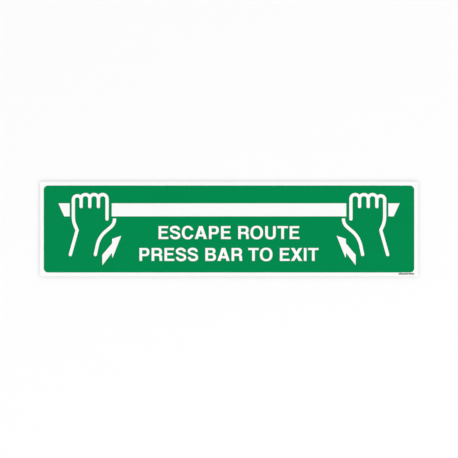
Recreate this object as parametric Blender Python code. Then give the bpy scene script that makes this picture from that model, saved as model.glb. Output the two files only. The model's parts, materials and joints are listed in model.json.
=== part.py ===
"""A push-bar door sign: cut film on an aluminium composite panel, with foam tape behind.

X runs along the sign, Z runs up it, and its face looks towards -Y. The origin is the
middle of the plane that the foam tape sticks to. Every flat piece is an outline in X and
Z, given its thickness along Y by the layer that it belongs to. Sizes are in metres.
"""

from math import acos, atan2, ceil, cos, degrees, pi, radians, sin, sqrt

import bmesh
import bpy
from mathutils import Vector

# The panel and the green film on it.
PANEL_LENGTH = 0.600
PANEL_HEIGHT = 0.150
PANEL_CORNER = 0.0008
WHITE_BORDER = 0.006
GREEN_CORNER = 0.007

# The layers from the door outwards, each with its thickness.
LAYERS = (
    ("foam_tape", 0.0011),
    ("rear_skin", 0.0003),
    ("core", 0.0018),
    ("front_skin", 0.0003),
    ("green_film", 0.0002),
    ("white_film", 0.0002),
)
BOND_LINE = 0.0003

# Foam tape, in upright strips at the two ends and the middle.
TAPE_WIDTH = 0.025
TAPE_HEIGHT = 0.130
TAPE_END_INSET = 0.030

# The push bar of the pictogram, in three pieces because the hands cross it.
BAR_MIDDLE_Z = 0.0304
BAR_DEPTH = 0.0210
BAR_HALF_LENGTH = 0.2709
BAR_END_SLANT = 0.0094
BAR_GAP_OUTSIDE_HAND = 0.0030
BAR_GAP_INSIDE_HAND = 0.0046

# The left hand, drawn with one round-ended line. The right hand mirrors it.
LINE_WIDTH = 0.0054
HAND_OUTER_X = -0.2470
LITTLE_FINGER_WIDTH = 0.0124
FINGER_WIDTH = 0.0137
LITTLE_KNUCKLE_Z = 0.0527
KNUCKLE_Z = 0.0547
CREASE_END_Z = 0.0356
HAND_INNER_END_Z = 0.0159
WRIST_TOP_Z = 0.0202
WRIST_SWEEP = (0.0400, 25)
WRIST_NECK = 0.0045
WRIST_BEND = (0.0030, -40.7)
FOREARM_LENGTH = 0.0392
THUMB_START = (-0.1816, 0.0169)
THUMB_TIP = 0.0008
THUMB_CURVE = (0.0172, -50)
THUMB_BALL = 0.0102
THUMB_WRIST_CURVE = (0.0400, 38)
THUMB_FOREARM = 0.0148

# The left arrow, from its tip round the head and the tail. The right arrow mirrors it.
ARROW = (
    (-0.1707, -0.0105),
    (-0.1855, -0.0156),
    (-0.1857, -0.0228),
    (-0.2012, -0.0411),
    (-0.2010, -0.0580),
    (-0.1862, -0.0384),
    (-0.1849, -0.0465),
)

# The lettering. Letter shapes are in units of the capital height.
CAPITAL_HEIGHT = 0.0207
UPPER_LINE = ("upper", "ESCAPE ROUTE", -0.0160)
LOWER_LINE = ("lower", "PRESS BAR TO EXIT", -0.0507)
WORD_SPACE = 0.385
STEM = 0.215
THIN = 0.172
OVERSHOOT = 0.025
ROUNDNESS = 2.25

# How far a chord may stand off its arc, which sets the number of points in an arc.
CHORD_ERROR = 0.000025
SPLINE_STEPS = 8

MATERIALS = {
    "white_film": ((0.91, 0.92, 0.91), 0.35, 0.0),
    "green_film": ((0.0018, 0.254, 0.080), 0.35, 0.0),
    "white_coating": ((0.88, 0.89, 0.89), 0.30, 0.0),
    "polyethylene_core": ((0.030, 0.031, 0.033), 0.60, 0.0),
    "mill_aluminium": ((0.77, 0.78, 0.79), 0.35, 1.0),
    "foam_tape": ((0.16, 0.165, 0.17), 0.85, 0.0),
}


def clear_scene():
    """Remove every object of the startup scene."""
    for item in list(bpy.data.objects):
        bpy.data.objects.remove(item, do_unlink=True)


def new_collection(name):
    made = bpy.data.collections.new(name)
    bpy.context.scene.collection.children.link(made)
    return made


def new_material(name):
    """A Principled BSDF with the colour, roughness and metallic value of its entry."""
    colour, roughness, metallic = MATERIALS[name]
    made = bpy.data.materials.new(name)
    made.use_nodes = True
    shader = made.node_tree.nodes["Principled BSDF"]
    shader.inputs["Base Color"].default_value = (*colour, 1.0)
    shader.inputs["Roughness"].default_value = roughness
    shader.inputs["Metallic"].default_value = metallic
    made.diffuse_color = (*colour, 1.0)
    return made


def layer_middles():
    """The Y of each layer's middle. The face looks towards -Y, so Y falls outwards."""
    middles = {}
    back = 0.0
    for name, thickness in LAYERS:
        middles[name] = -(back + thickness / 2)
        back += thickness + BOND_LINE
    return middles


# ---------------------------------------------------------------- outlines


def arc(centre, radii, start, end, unit=1.0):
    """Points on an ellipse between two angles in degrees, both ends included.

    unit is the size in metres of one unit of the radii, so that letters, which are
    drawn in capital heights, are as smooth as the hands. The number of steps is a
    multiple of four, so that a full ellipse is the same on both sides, top and bottom.
    """
    widest = max(radii) * unit
    step = degrees(2 * acos(1 - CHORD_ERROR / widest))
    count = 4 * ceil(abs(end - start) / step / 4)
    angles = [radians(start + (end - start) * i / count) for i in range(count + 1)]
    return [
        (centre[0] + radii[0] * cos(angle), centre[1] + radii[1] * sin(angle))
        for angle in angles
    ]


def rounded_rectangle(length, height, corner):
    """A rectangle about the origin, with a quarter circle at each corner."""
    x, z = length / 2 - corner, height / 2 - corner
    corners = ((x, z, 0), (-x, z, 90), (-x, -z, 180), (x, -z, 270))
    points = []
    for corner_x, corner_z, start in corners:
        points += arc((corner_x, corner_z), (corner, corner), start, start + 90)
    return points


def mirrored(points):
    """The outline's mirror image across the sign's middle."""
    return [(-x, z) for x, z in reversed(points)]


def trace(start, heading, moves):
    """A centre line of straight runs and arcs, as (x, z, heading in degrees) points.

    A move is a length for a straight run, or (radius, turn) for an arc, where a
    positive turn in degrees goes anticlockwise.
    """
    x, z = start
    line = [(x, z, heading)]
    for move in moves:
        if isinstance(move, tuple):
            radius, turn = move
            side = 1 if turn > 0 else -1
            first = heading - side * 90
            centre = (x - radius * cos(radians(first)), z - radius * sin(radians(first)))
            points = arc(centre, (radius, radius), first, first + turn)
            for i, (x, z) in enumerate(points[1:], 1):
                line.append((x, z, heading + turn * i / (len(points) - 1)))
            heading += turn
        else:
            x += move * cos(radians(heading))
            z += move * sin(radians(heading))
            line.append((x, z, heading))
    return line


def offset(line, distance):
    """The centre line moved to its left by a distance, or to its right if negative."""
    return [
        (x - distance * sin(radians(heading)), z + distance * cos(radians(heading)))
        for x, z, heading in line
    ]


def round_end(centre, width, start, turn):
    """Half a turn about the end of a line, without the two points that it joins."""
    return arc(centre, (width / 2, width / 2), start, start + turn)[1:-1]


def stroke(line, width, round_tip):
    """The closed outline of a line of even width, square at its start."""
    left, right = offset(line, width / 2), offset(line, -width / 2)
    x, z, heading = line[-1]
    tip = round_end((x, z), width, heading + 90, -180) if round_tip else []
    return left + tip + right[::-1]


def upper_crossing(circle_a, circle_b):
    """The higher point where two circles (x, z, radius) cross."""
    ax, az, ar = circle_a
    bx, bz, br = circle_b
    across = Vector((bx - ax, bz - az))
    apart = across.length
    along = (apart**2 + ar**2 - br**2) / (2 * apart)
    above = sqrt(ar**2 - along**2)
    unit = across / apart
    return ax + along * unit.x - above * unit.y, az + along * unit.y + above * unit.x


def angle_to(circle, point):
    return degrees(atan2(point[1] - circle[1], point[0] - circle[0]))


# ---------------------------------------------------------------- the hands


def finger_columns():
    """X of the five upright lines of the hand: its outer side, creases and inner side."""
    columns = [HAND_OUTER_X, HAND_OUTER_X + LITTLE_FINGER_WIDTH]
    while len(columns) < 5:
        columns.append(columns[-1] + FINGER_WIDTH)
    return columns


def knuckle_arches():
    """One (x, z, radius) half circle over each finger, from the little finger inwards."""
    columns = finger_columns()
    crests = (LITTLE_KNUCKLE_Z, KNUCKLE_Z, KNUCKLE_Z, KNUCKLE_Z)
    arches = []
    for left, right, crest in zip(columns, columns[1:], crests):
        radius = (right - left) / 2
        arches.append(((left + right) / 2, crest - radius, radius))
    return arches


def knuckle_tops(arches, half):
    """The scalloped top edge: each arch's outer arc, cut where it meets the next."""
    circles = [(x, z, radius + half) for x, z, radius in arches]
    notches = [upper_crossing(a, b) for a, b in zip(circles, circles[1:])]
    starts = [180] + [angle_to(c, n) for c, n in zip(circles[1:], notches)]
    ends = [angle_to(c, n) for c, n in zip(circles, notches)] + [0]
    points = []
    for (x, z, radius), start, end in zip(circles, starts, ends):
        points += arc((x, z), (radius, radius), start, end)
    return points


def finger_outline():
    """The closed outline of the knuckles, the creases, and the wrist on the outer side."""
    half = LINE_WIDTH / 2
    columns = finger_columns()
    arches = knuckle_arches()
    points = knuckle_tops(arches, half)
    # Down the inner side and back up, then arch by arch with a crease between each two.
    lower_ends = [CREASE_END_Z, CREASE_END_Z, CREASE_END_Z, HAND_INNER_END_Z]
    for (x, z, radius), column, end in list(zip(arches, columns[1:], lower_ends))[::-1]:
        points += arc((column, end), (half, half), 0, -180)
        points += arc((x, z), (radius - half, radius - half), 0, 180)
    wrist = trace(
        (HAND_OUTER_X, arches[0][1]),
        -90,
        [
            arches[0][1] - WRIST_TOP_Z,
            WRIST_SWEEP,
            WRIST_NECK,
            WRIST_BEND,
            FOREARM_LENGTH,
        ],
    )
    x, z, heading = wrist[-1]
    points += offset(wrist, half)[1:]
    points += round_end((x, z), LINE_WIDTH, heading + 90, -180)
    points += offset(wrist, -half)[:0:-1]
    return points


def thumb_outline():
    """The line that bounds the thumb and the inner side of the forearm."""
    line = trace(
        THUMB_START,
        -90,
        [THUMB_TIP, THUMB_CURVE, THUMB_BALL, THUMB_WRIST_CURVE, THUMB_FOREARM],
    )
    return stroke(line, LINE_WIDTH, round_tip=True)


# ---------------------------------------------------------------- the bar


def bar_end_outline():
    """The left end of the bar, with its end face slanted to show its depth."""
    top = BAR_MIDDLE_Z + BAR_DEPTH / 2
    bottom = BAR_MIDDLE_Z - BAR_DEPTH / 2
    inner = HAND_OUTER_X - LINE_WIDTH / 2 - BAR_GAP_OUTSIDE_HAND
    outer = -BAR_HALF_LENGTH
    return [(inner, bottom), (inner, top), (outer, top), (outer + BAR_END_SLANT, bottom)]


def bar_middle_outline():
    """The long middle of the bar, from one hand to the other."""
    top = BAR_MIDDLE_Z + BAR_DEPTH / 2
    bottom = BAR_MIDDLE_Z - BAR_DEPTH / 2
    left = finger_columns()[-1] + LINE_WIDTH / 2 + BAR_GAP_INSIDE_HAND
    return [(left, bottom), (-left, bottom), (-left, top), (left, top)]


# ---------------------------------------------------------------- the letters
# Each function gives its letter's closed outlines, the outer one first, in units of
# the capital height, with X from 0 to the letter's width and Z from the base line up.


def letter_arc(centre, radii, start, end):
    """An arc of a letter, squared a little towards its corners.

    A point at angle a is the radius times cos(a) or sin(a) to the power 2 / ROUNDNESS,
    with its sign kept: a superellipse, which is a true ellipse when ROUNDNESS is 2.
    """
    points = []
    for x, z in arc((0, 0), (1, 1), start, end, unit=max(radii) * CAPITAL_HEIGHT):
        across = abs(x) ** (2 / ROUNDNESS) * (1 if x > 0 else -1)
        up = abs(z) ** (2 / ROUNDNESS) * (1 if z > 0 else -1)
        points.append((centre[0] + radii[0] * across, centre[1] + radii[1] * up))
    return points


def bowl(left, right, bottom, top, straight):
    """A shape flat on its left side and round on its right, as in P, B and R."""
    middle = (bottom + top) / 2
    radii = (right - straight, (top - bottom) / 2)
    return [(left, bottom), *letter_arc((straight, middle), radii, -90, 90), (left, top)]


def cubic(start, pull_out, pull_in, end):
    """A Bezier curve's points and headings, as a centre line without its last point."""
    ends = [Vector(p) for p in (start, pull_out, pull_in, end)]
    line = []
    for i in range(SPLINE_STEPS):
        t = i / SPLINE_STEPS
        s = 1 - t
        a, b, c = (ends[k].lerp(ends[k + 1], t) for k in range(3))
        point = a * s * s + b * 2 * s * t + c * t * t
        along = b.lerp(c, t) - a.lerp(b, t)
        line.append((point.x, point.y, degrees(atan2(along.y, along.x))))
    return line


def letter_a(width):
    apex, foot = 0.28, 0.245
    bar_bottom, bar_top = 0.20, 0.375
    lean = (width - apex) / 2
    counter_top = (width / 2 - foot) / lean
    low, high = foot + lean * bar_bottom, foot + lean * bar_top
    outer = [
        (0, 0),
        (foot, 0),
        (low, bar_bottom),
        (width - low, bar_bottom),
        (width - foot, 0),
        (width, 0),
        (width - lean, 1),
        (lean, 1),
    ]
    counter = [(high, bar_top), (width - high, bar_top), (width / 2, counter_top)]
    return [outer, counter]


def letter_b(width):
    waist, upper_right = 0.57, width - 0.035
    lower = letter_arc((0.52, 0.295), (width - 0.52, 0.295), -90, 68)
    upper = letter_arc((0.50, 0.765), (upper_right - 0.50, 0.235), -52, 90)
    outer = [(0, 0), *lower, *upper, (0, 1)]
    gap = THIN / 2
    upper_counter = bowl(STEM, upper_right - STEM, waist - 0.045 + gap, 1 - THIN, 0.46)
    lower_counter = bowl(STEM, width - STEM, THIN, waist - 0.045 - gap, 0.48)
    return [outer, upper_counter, lower_counter]


def letter_c(width):
    upper_cut, lower_cut = 0.685, 0.325
    centre = (width / 2, 0.5)
    outer = (width / 2, 0.5 + OVERSHOOT)
    inner = (width / 2 - STEM, 0.5 + OVERSHOOT - THIN)

    def angle(radii, height):
        """The arc angle in degrees at which a height above the centre is reached."""
        up = abs(height - 0.5) / radii[1]
        sine = up ** (ROUNDNESS / 2)
        found = degrees(atan2(sine, sqrt(1 - sine * sine)))
        return found if height > 0.5 else -found

    outside = letter_arc(centre, outer, angle(outer, upper_cut), 360 + angle(outer, lower_cut))
    inside = letter_arc(centre, inner, 360 + angle(inner, lower_cut), angle(inner, upper_cut))
    return [outside + inside]


def letter_e(width):
    middle, middle_arm, top_arm = 0.527, width - 0.085, width - 0.02
    low, high = middle - THIN / 2, middle + THIN / 2
    outer = [
        (0, 0),
        (width, 0),
        (width, THIN),
        (STEM, THIN),
        (STEM, low),
        (middle_arm, low),
        (middle_arm, high),
        (STEM, high),
        (STEM, 1 - THIN),
        (top_arm, 1 - THIN),
        (top_arm, 1),
        (0, 1),
    ]
    return [outer]


def letter_i(width):
    return [[(0, 0), (width, 0), (width, 1), (0, 1)]]


def letter_o(width):
    centre = (width / 2, 0.5)
    outer = (width / 2, 0.5 + OVERSHOOT)
    inner = (outer[0] - STEM, outer[1] - THIN)
    return [letter_arc(centre, radii, 0, 360)[:-1] for radii in (outer, inner)]


def letter_p(width):
    bottom, straight = 0.362, 0.48
    outer = bowl(STEM, width, bottom, 1, straight)[1:-1]
    counter = bowl(STEM, width - STEM, bottom + THIN, 1 - THIN, straight - 0.04)
    return [[(0, 0), (STEM, 0), (STEM, bottom), *outer, (0, 1)], counter]


def letter_r(width):
    bottom, straight, foot = 0.382, 0.50, width - STEM
    bowl_edge = letter_arc((straight, 0.70), (width - 0.02 - straight, 0.30), -55, 90)
    leg_inside = letter_arc((foot - 0.14, 0.26), (0.125, bottom - 0.26), 0, 90)
    leg_outside = letter_arc((width - 0.16, 0.32), (0.14, 0.16), 0, 62)
    outer = [
        (0, 0),
        (STEM, 0),
        (STEM, bottom),
        *leg_inside[::-1],
        (foot, 0),
        (width, 0),
        *leg_outside,
        *bowl_edge,
        (0, 1),
    ]
    counter = bowl(STEM, width - 0.02 - STEM, bottom + THIN, 1 - THIN, straight - 0.04)
    return [outer, counter]


def letter_s(width):
    """A spine of six Bezier curves, from the upper right tip to the lower left one."""
    half, edge, top = THIN / 2 + 0.012, 0.10, 1 + OVERSHOOT
    middle, left, right = width / 2, edge, width - edge
    line = [
        *cubic((right - 0.025, 0.695), (right - 0.03, 0.86), (0.54, top - half), (middle, top - half)),
        *cubic((middle, top - half), (0.22, top - half), (left, 0.86), (left, 0.735)),
        *cubic((left, 0.735), (left, 0.60), (0.25, 0.565), (middle, 0.515)),
        *cubic((middle, 0.515), (0.58, 0.465), (right, 0.42), (right, 0.27)),
        *cubic((right, 0.27), (right, 0.14), (0.60, half - OVERSHOOT), (middle, half - OVERSHOOT)),
        *cubic((middle, half - OVERSHOOT), (0.25, half - OVERSHOOT), (0.12, 0.14), (0.115, 0.315)),
        (0.115, 0.315, 90),
    ]
    return [stroke(line, 2 * half, round_tip=False)]


def letter_t(width):
    left, right = (width - STEM) / 2, (width + STEM) / 2
    outer = [
        (left, 0),
        (right, 0),
        (right, 1 - THIN),
        (width, 1 - THIN),
        (width, 1),
        (0, 1),
        (0, 1 - THIN),
        (left, 1 - THIN),
    ]
    return [outer]


def letter_u(width):
    spring = 0.335
    outer = (width / 2, spring + OVERSHOOT)
    inner = (outer[0] - STEM, outer[1] - THIN - 0.01)
    outside = letter_arc((width / 2, spring), outer, 180, 360)
    inside = letter_arc((width / 2, spring), inner, 360, 180)
    return [[(0, 1), *outside, (width, 1), (width - STEM, 1), *inside, (STEM, 1)]]


def letter_x(width):
    foot = 0.275
    crotch = (width / 2 - foot) / (width - foot)
    side = (width - foot) / 2
    outer = [
        (0, 0),
        (foot, 0),
        (width / 2, crotch),
        (width - foot, 0),
        (width, 0),
        (width - side, 0.5),
        (width, 1),
        (width - foot, 1),
        (width / 2, 1 - crotch),
        (foot, 1),
        (0, 1),
        (side, 0.5),
    ]
    return [outer]


# Each letter's shape, its width, and the clear space on its left and on its right.
LETTERS = {
    "A": (letter_a, 0.945, 0.03, 0.03),
    "B": (letter_b, 0.825, 0.11, 0.07),
    "C": (letter_c, 0.905, 0.06, 0.05),
    "E": (letter_e, 0.760, 0.11, 0.06),
    "I": (letter_i, STEM, 0.09, 0.09),
    "O": (letter_o, 0.975, 0.06, 0.06),
    "P": (letter_p, 0.770, 0.11, 0.05),
    "R": (letter_r, 0.825, 0.11, 0.05),
    "S": (letter_s, 0.810, 0.05, 0.05),
    "T": (letter_t, 0.810, 0.02, 0.02),
    "U": (letter_u, 0.815, 0.10, 0.10),
    "X": (letter_x, 0.890, 0.02, 0.02),
}


def set_line(words):
    """(letter, X of its left edge) in capital heights, with the line's middle at 0."""
    placed = []
    pen = 0.0
    for letter in words:
        if letter == " ":
            pen += WORD_SPACE
            continue
        _, width, before, after = LETTERS[letter]
        placed.append((letter, pen + before))
        pen += before + width + after
    first = placed[0][1]
    last = placed[-1][1] + LETTERS[placed[-1][0]][1]
    return [(letter, x - (first + last) / 2) for letter, x in placed]


# ---------------------------------------------------------------- the solids


class Sign:
    """Makes each named piece in the sign's collection, in the layer it belongs to."""

    def __init__(self):
        self.collection = new_collection("push_bar_door_sign")
        self.materials = {name: new_material(name) for name in MATERIALS}
        self.thickness = dict(LAYERS)
        self.middles = layer_middles()
        self.frame = bpy.data.objects.new("sign_frame", None)
        self.collection.objects.link(self.frame)

    def place(self, name, data, layer, material, x=0.0, z=0.0):
        made = bpy.data.objects.new(name, data)
        data.materials.append(self.materials[material])
        made.parent = self.frame
        made.location = (x, self.middles[layer], z)
        self.collection.objects.link(made)
        return made

    def cut_sheet(self, name, outlines, layer, material, x=0.0, z=0.0):
        """A flat piece: closed outlines filled, then thickened to its layer's thickness."""
        curve = bpy.data.curves.new(name, "CURVE")
        curve.dimensions = "2D"
        curve.fill_mode = "BOTH"
        curve.extrude = self.thickness[layer] / 2
        for points in outlines:
            spline = curve.splines.new("POLY")
            spline.points.add(len(points) - 1)
            for slot, (along, up) in zip(spline.points, points):
                slot.co = (along, up, 0, 1)
            spline.use_cyclic_u = True
        made = self.place(name, curve, layer, material, x, z)
        made.rotation_euler = (pi / 2, 0, 0)
        return made

    def strip(self, name, x):
        """One strip of foam tape, a box cut square from the roll."""
        mesh = bpy.data.meshes.new(name)
        box = bmesh.new()
        bmesh.ops.create_cube(box, size=1.0)
        size = Vector((TAPE_WIDTH, self.thickness["foam_tape"], TAPE_HEIGHT))
        bmesh.ops.scale(box, vec=size, verts=box.verts)
        box.to_mesh(mesh)
        box.free()
        return self.place(name, mesh, "foam_tape", "foam_tape", x)


def build_panel(sign):
    """The composite panel: a plastic core between two aluminium skins."""
    board = rounded_rectangle(PANEL_LENGTH, PANEL_HEIGHT, PANEL_CORNER)
    sign.cut_sheet("rear_skin", [board], "rear_skin", "mill_aluminium")
    sign.cut_sheet("core", [board], "core", "polyethylene_core")
    sign.cut_sheet("front_skin", [board], "front_skin", "white_coating")


def build_tape(sign):
    """Foam tape behind the panel, which holds the sign on its door."""
    end_x = PANEL_LENGTH / 2 - TAPE_END_INSET
    for name, x in (("left", -end_x), ("middle", 0.0), ("right", end_x)):
        sign.strip(f"foam_tape_{name}", x)


def build_green_field(sign):
    length = PANEL_LENGTH - 2 * WHITE_BORDER
    height = PANEL_HEIGHT - 2 * WHITE_BORDER
    field = rounded_rectangle(length, height, GREEN_CORNER)
    sign.cut_sheet("green_field", [field], "green_film", "green_film")


def build_pictogram(sign):
    """The bar, and on each side a hand of two lines and an arrow, cut in white film."""
    sign.cut_sheet("bar_middle", [bar_middle_outline()], "white_film", "white_film")
    shapes = {
        "bar_end": bar_end_outline(),
        "fingers": finger_outline(),
        "thumb": thumb_outline(),
        "arrow": list(ARROW),
    }
    for shape, points in shapes.items():
        sign.cut_sheet(f"left_{shape}", [points], "white_film", "white_film")
        sign.cut_sheet(f"right_{shape}", [mirrored(points)], "white_film", "white_film")


def build_lettering(sign):
    """Two centred lines of separate letters, each placed by its lower left corner."""
    for line, words, base_z in (UPPER_LINE, LOWER_LINE):
        for number, (letter, x) in enumerate(set_line(words), 1):
            shape, width, _, _ = LETTERS[letter]
            outlines = [
                [(along * CAPITAL_HEIGHT, up * CAPITAL_HEIGHT) for along, up in points]
                for points in shape(width)
            ]
            name = f"letter_{line}_{number:02d}_{letter}"
            left = x * CAPITAL_HEIGHT
            sign.cut_sheet(name, outlines, "white_film", "white_film", left, base_z)


def main():
    clear_scene()
    sign = Sign()
    build_tape(sign)
    build_panel(sign)
    build_green_field(sign)
    build_pictogram(sign)
    build_lettering(sign)


main()
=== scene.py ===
# %% [markdown]
# # A push-bar door sign
#
# The object is a stiff plate that is stuck to a door above its push bar. From the door
# outwards it is foam tape, a composite panel of two thin aluminium sheets on a plastic
# core, one sheet of green film, and a pictogram and lettering cut from white film.
# The solid model already holds every size. This script loads it as a fixed frame and
# builds the fine surfaces and the finishes around it, one step to a cell.

# %% Load the solid model
import json
from math import pi, radians

import bpy
import numpy as np
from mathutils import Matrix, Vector
from mathutils.geometry import delaunay_2d_cdt

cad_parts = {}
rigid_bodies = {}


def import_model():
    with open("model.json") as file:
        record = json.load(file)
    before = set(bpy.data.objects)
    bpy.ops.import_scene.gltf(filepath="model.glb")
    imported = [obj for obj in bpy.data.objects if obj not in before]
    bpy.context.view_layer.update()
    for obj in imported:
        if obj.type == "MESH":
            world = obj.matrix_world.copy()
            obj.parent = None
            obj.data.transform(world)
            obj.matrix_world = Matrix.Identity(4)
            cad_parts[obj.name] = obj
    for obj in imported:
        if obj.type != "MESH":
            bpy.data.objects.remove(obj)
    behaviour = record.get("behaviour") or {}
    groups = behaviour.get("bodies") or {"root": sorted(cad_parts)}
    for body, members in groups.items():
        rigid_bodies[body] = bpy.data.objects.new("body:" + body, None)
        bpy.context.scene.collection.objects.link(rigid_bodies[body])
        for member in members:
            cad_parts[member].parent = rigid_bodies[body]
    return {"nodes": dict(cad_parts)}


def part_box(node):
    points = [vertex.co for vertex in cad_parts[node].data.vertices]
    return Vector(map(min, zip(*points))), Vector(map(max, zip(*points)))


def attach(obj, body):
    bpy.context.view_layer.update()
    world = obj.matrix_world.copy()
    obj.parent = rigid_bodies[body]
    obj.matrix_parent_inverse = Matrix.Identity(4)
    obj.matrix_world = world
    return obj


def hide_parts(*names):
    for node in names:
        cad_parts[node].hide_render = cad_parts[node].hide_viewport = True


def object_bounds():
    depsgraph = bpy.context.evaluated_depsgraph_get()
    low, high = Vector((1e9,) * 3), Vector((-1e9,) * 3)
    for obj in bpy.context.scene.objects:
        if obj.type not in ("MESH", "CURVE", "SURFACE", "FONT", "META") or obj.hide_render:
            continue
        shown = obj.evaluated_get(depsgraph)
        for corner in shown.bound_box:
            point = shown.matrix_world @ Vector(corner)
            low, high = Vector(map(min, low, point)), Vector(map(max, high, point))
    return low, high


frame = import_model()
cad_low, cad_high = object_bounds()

sign_length, sign_depth, sign_height = cad_high - cad_low
print(f"{len(frame['nodes'])} solids")
print(f"{1000 * sign_length:.1f} x {1000 * sign_height:.1f} x {1000 * sign_depth:.1f} mm")

# %% [markdown]
# ## The camera
#
# A flat sign is seen square on, through a long lens, so that its edges stay parallel and
# none of its thickness shows. A lens of focal length f on a sensor of width s takes in a
# width of distance x s / f, so the distance follows from how much of the view's width the
# sign fills.

# %% Set up the camera
LENS = 100.0
SENSOR = 36.0
SIGN_SHARE = 0.8253

face_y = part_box("front_skin")[0].y
view_width = sign_length / SIGN_SHARE
camera_distance = view_width * LENS / SENSOR

camera = bpy.data.objects.new("camera", bpy.data.cameras.new("camera"))
camera.data.lens = LENS
camera.data.sensor_width = SENSOR
camera.location = (0, face_y - camera_distance, 0)
camera.rotation_euler = (radians(90), 0, 0)
bpy.context.scene.collection.objects.link(camera)
bpy.context.scene.camera = camera
print(f"camera {camera_distance:.3f} m in front of the face, seeing {view_width:.3f} m")

# %% [markdown]
# ## Helpers for nodes
#
# A material is a graph of nodes. Making one node takes a line for each of its values, so
# the first helper makes the node, sets its options, and fills its inputs: a socket is
# linked, and anything else is written in as the input's own value. The others make the
# nodes that every material needs: its output, one step of arithmetic, a smooth step from
# one range to another, and a sum of weighted values.

# %% Make shader nodes
def put(tree, kind, values=(), **options):
    """Add a shader node, with its options set and its inputs filled or linked."""
    made = tree.nodes.new("ShaderNode" + kind)
    for option, value in options.items():
        setattr(made, option, value)
    for name, value in dict(values).items():
        if isinstance(value, bpy.types.NodeSocket):
            tree.links.new(value, made.inputs[name])
        else:
            made.inputs[name].default_value = value
    return made


def empty_material(name):
    """A new material with its node tree cleared, and the output node that it ends in."""
    made = bpy.data.materials.new(name)
    made.use_nodes = True
    made.node_tree.nodes.clear()
    return made, made.node_tree, put(made.node_tree, "OutputMaterial")


def figure(tree, operation, first, second=0.0):
    """One step of arithmetic on two sockets or numbers."""
    return put(tree, "Math", {0: first, 1: second}, operation=operation).outputs[0]


def between(tree, value, low, high, to_low=0.0, to_high=1.0):
    """The value carried smoothly from the range low to high onto a new range."""
    values = {"Value": value, "From Min": low, "From Max": high}
    values |= {"To Min": to_low, "To Max": to_high}
    return put(tree, "MapRange", values, interpolation_type="SMOOTHSTEP").outputs[0]


def weighted(tree, start, *terms):
    """A start value plus each (value, weight) pair's product."""
    total = start
    for value, weight in terms:
        total = figure(tree, "ADD", total, figure(tree, "MULTIPLY", value, weight))
    return total


print("node helpers ready")

# %% [markdown]
# ## The wall and the floor
#
# The sign hangs on a plain pale wall, which catches the soft shadow round its edges. The
# wall would hide the tape from behind, so its paint shows from the front only. It is
# clear when the camera is behind it, and clear to the light that the sign's back is seen
# by, which is any ray that hasn't bounced off a matt surface yet. A ray that has done so
# left the wall itself, and finds it solid, so that the gap behind the sign stays dark.
# The floor is far enough down to stay out of the front view.

# %% Build the wall and the floor
WALL_GAP = 0.0002
FLOOR_DROP = 0.42
STAGE_HALF = 5.0
WALL_TOP = 3.0
WALL_WHITE = 0.93
FLOOR_WHITE = 0.80


def flat_sheet(name, corners):
    """One rectangle with the given corners, marked as a part of the stage."""
    mesh = bpy.data.meshes.new(name)
    mesh.from_pydata(corners, [], [(0, 1, 2, 3)])
    made = bpy.data.objects.new(name, mesh)
    bpy.context.scene.collection.objects.link(made)
    return made


def one_sided_paint(name, white):
    """Matt paint with a faint roller texture, clear when it is seen from behind."""
    made, tree, output = empty_material(name)
    place = put(tree, "TexCoord").outputs["Object"]
    roller = put(tree, "TexNoise", {"Vector": place, "Scale": 260.0, "Detail": 3.0})
    drift = put(tree, "TexNoise", {"Vector": place, "Scale": 1.3, "Detail": 1.0})
    tone = put(tree, "ValToRGB", {"Fac": drift.outputs[0]})
    tone.color_ramp.elements[0].color = (white * 0.99, white * 0.99, white * 0.985, 1)
    tone.color_ramp.elements[1].color = (white, white, white, 1)
    relief = {"Strength": 0.15, "Distance": 0.0002, "Height": roller.outputs[0]}
    bump = put(tree, "Bump", relief)
    paint = put(tree, "BsdfDiffuse", {"Color": tone.outputs[0], "Normal": bump.outputs[0]})
    clear = put(tree, "BsdfTransparent")
    behind = put(tree, "NewGeometry").outputs["Backfacing"]
    path = put(tree, "LightPath").outputs
    first = figure(tree, "LESS_THAN", path["Diffuse Depth"], 0.5)
    straight = figure(tree, "SUBTRACT", first, path["Is Camera Ray"])
    through = figure(tree, "MAXIMUM", straight, behind)
    side = put(tree, "MixShader", {0: through, 1: paint.outputs[0], 2: clear.outputs[0]})
    tree.links.new(side.outputs[0], output.inputs["Surface"])
    return made


floor_z = cad_low.z - FLOOR_DROP + sign_height / 2
wall_y = cad_high.y + WALL_GAP
wall = flat_sheet(
    "wall",
    [
        (-STAGE_HALF, wall_y, floor_z),
        (STAGE_HALF, wall_y, floor_z),
        (STAGE_HALF, wall_y, WALL_TOP),
        (-STAGE_HALF, wall_y, WALL_TOP),
    ],
)
floor = flat_sheet(
    "floor",
    [
        (-STAGE_HALF, -STAGE_HALF, floor_z),
        (STAGE_HALF, -STAGE_HALF, floor_z),
        (STAGE_HALF, STAGE_HALF, floor_z),
        (-STAGE_HALF, STAGE_HALF, floor_z),
    ],
)
wall.data.materials.append(one_sided_paint("wall_paint", WALL_WHITE))
floor.data.materials.append(one_sided_paint("floor_paint", FLOOR_WHITE))
floor.visible_diffuse = False
print(f"floor {(cad_low.z - floor_z) * 1000:.0f} mm below the sign")

# %% [markdown]
# ## The light
#
# Two kinds of soft light do two jobs. A fill straight from the front gives the colours
# evenly and casts no shadow that the camera can see. Softboxes all round, at 45 degrees
# to the face, push a short shadow out on every side: the shadow of a plate of depth d
# under light at 45 degrees is d long. The softboxes below and to the right are stronger,
# so the shadow is darker above and to the left. The fill is kept out of reflections, as
# crossed polarisers do in a studio, or it would show in the film as a grey haze. For the
# same reason the room is darker straight behind the camera than to the sides. Two
# softboxes behind the wall light the back. None of these reach the floor: light linking
# gives it a lamp of its own overhead, so it is evenly pale on both sides of the wall.

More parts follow.
